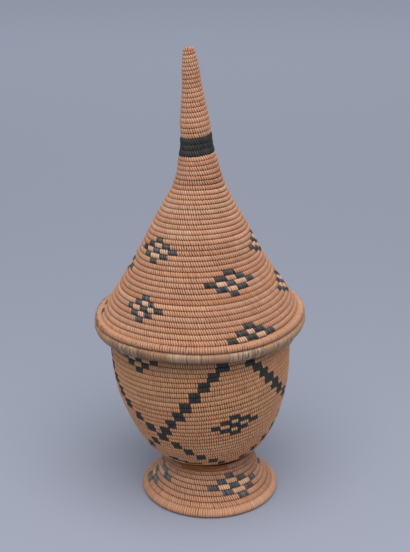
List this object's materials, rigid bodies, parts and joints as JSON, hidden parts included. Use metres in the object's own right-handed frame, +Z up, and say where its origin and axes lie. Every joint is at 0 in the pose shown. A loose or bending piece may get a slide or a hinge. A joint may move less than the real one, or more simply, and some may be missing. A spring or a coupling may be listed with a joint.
{
  "type": "coiled lidded basket",
  "caption": "Coiled grass basket on a flared foot, with a tall conical lid that rises into a leaning spire and lifts off.",
  "frame": {"origin": "on the floor, under the middle of the lid's edge, which is the middle of the bounding box", "axes": "+Z up along the basket's height, the spire leans towards -X, the pictured front faces -Y"},
  "size_m": [0.16, 0.16, 0.35],
  "materials": {
    "foot_edge_straw": "dry stitched grass",
    "foot_straw": "dry stitched grass",
    "waist_straw": "dry stitched grass",
    "floor_straw": "dry stitched grass",
    "bowl_straw": "dry stitched grass",
    "pale_wrap": "dry fibre wrap",
    "neck_straw": "dry stitched grass",
    "rim_straw": "dry stitched grass",
    "lid_edge_straw": "dry stitched grass",
    "lid_straw": "dry stitched grass",
    "spire_base_straw": "dry stitched grass",
    "black_wrap": "dyed fibre wrap",
    "spire_straw": "dry stitched grass",
    "tip_straw": "dry stitched grass"
  },
  "bodies": {
    "basket": {"foot_edge_coil": "foot_edge_straw", "foot_flare": "foot_straw", "waist_coil": "waist_straw", "bowl_floor": "floor_straw", "bowl_wall": "bowl_straw", "lid_ledge": "pale_wrap", "neck_collar": "neck_straw", "rim_coil": "rim_straw"},
    "lid": {"lid_edge_coil": "lid_edge_straw", "lid_cone": "lid_straw", "spire_base": "spire_base_straw", "spire_band": "black_wrap", "spire_shaft": "spire_straw", "spire_tip": "tip_straw"}
  },
  "joints": [
    {"name": "lid_lift", "type": "slide", "parent": "basket", "child": "lid", "axis": [0, 0, 1], "range_m": [0, 0.25]}
  ]
}
